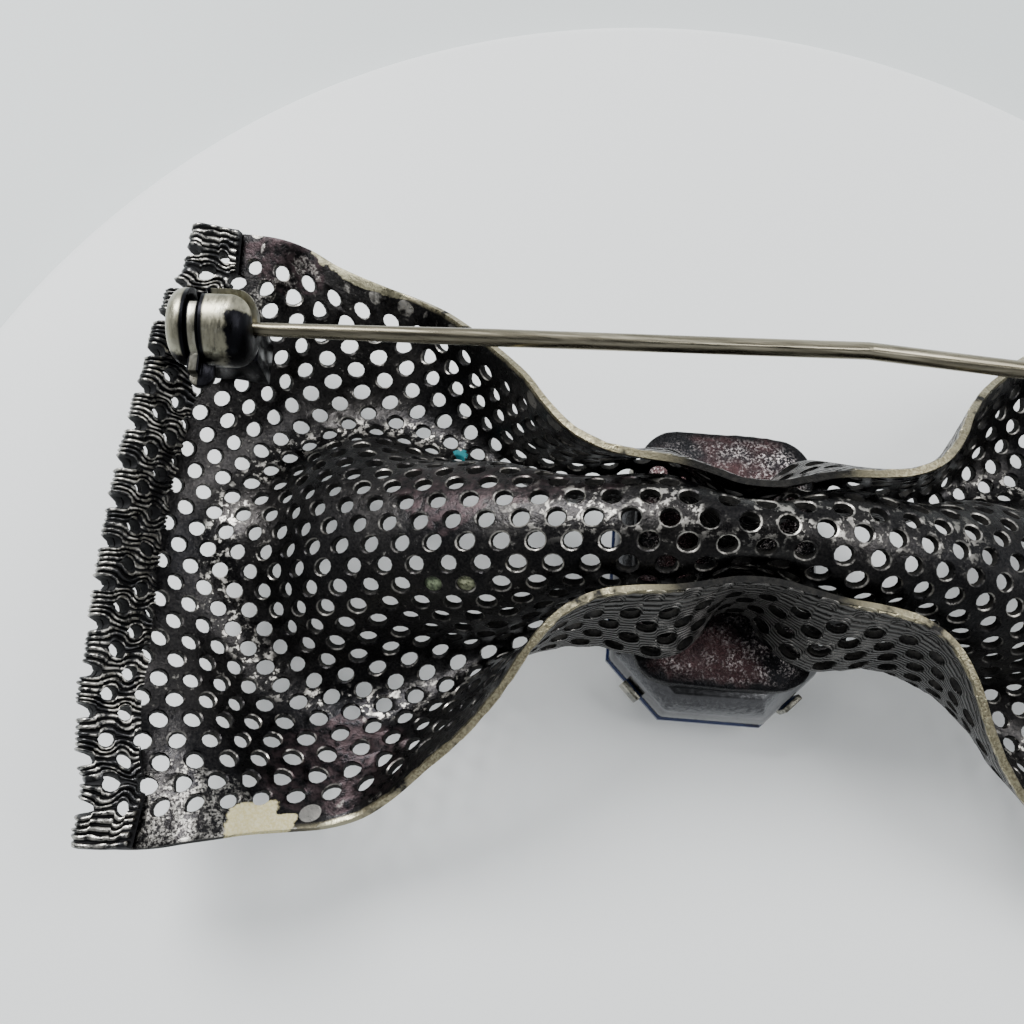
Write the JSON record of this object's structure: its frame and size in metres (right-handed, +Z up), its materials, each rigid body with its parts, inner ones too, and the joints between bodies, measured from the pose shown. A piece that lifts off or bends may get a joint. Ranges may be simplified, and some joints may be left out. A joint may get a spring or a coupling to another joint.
{
  "type": "bow brooch",
  "caption": "Perforated sheet-metal bow brooch lying face down, with a cut-corner stone in a closed claw setting under its waist, a hinged pin and a roll-over catch.",
  "frame": {"origin": "middle of the stone's table, the flat face that the brooch lies on", "axes": "+X along the bow towards the hinge, +Y across the bow towards the pin, +Z up from the table to the back of the bow"},
  "size_m": [0.0722, 0.0374, 0.016],
  "materials": {
    "black_plate": "black gunmetal plating, worn pale at rims and creases",
    "cast_setting": "dark sandy casting",
    "blue_stone": "polished facets",
    "worn_fittings": "worn black plating over pale brass",
    "stem_wire": "dull olive nickel silver wire"
  },
  "bodies": {
    "brooch": {"bow_sheet": "black_plate", "stone_setting": "cast_setting", "center_stone": "blue_stone", "catch_housing": "worn_fittings", "hinge_bracket": "worn_fittings", "hinge_rivet": "worn_fittings"},
    "pin": {"pin_stem": "stem_wire"},
    "catch": {"catch_rotor": "worn_fittings"}
  },
  "joints": [
    {"name": "pin_hinge", "type": "hinge", "parent": "brooch", "child": "pin", "pos_m": [0.03052, 0.01157, 0.01117], "axis": [-0.037, 0.7061, -0.7071], "range_deg": [0, 80]},
    {"name": "catch_turn", "type": "hinge", "parent": "brooch", "child": "catch", "pos_m": [-0.03192, 0.01026, 0.01177], "axis": [-0.9986, -0.0523, 0], "range_deg": [0, 100]}
  ]
}
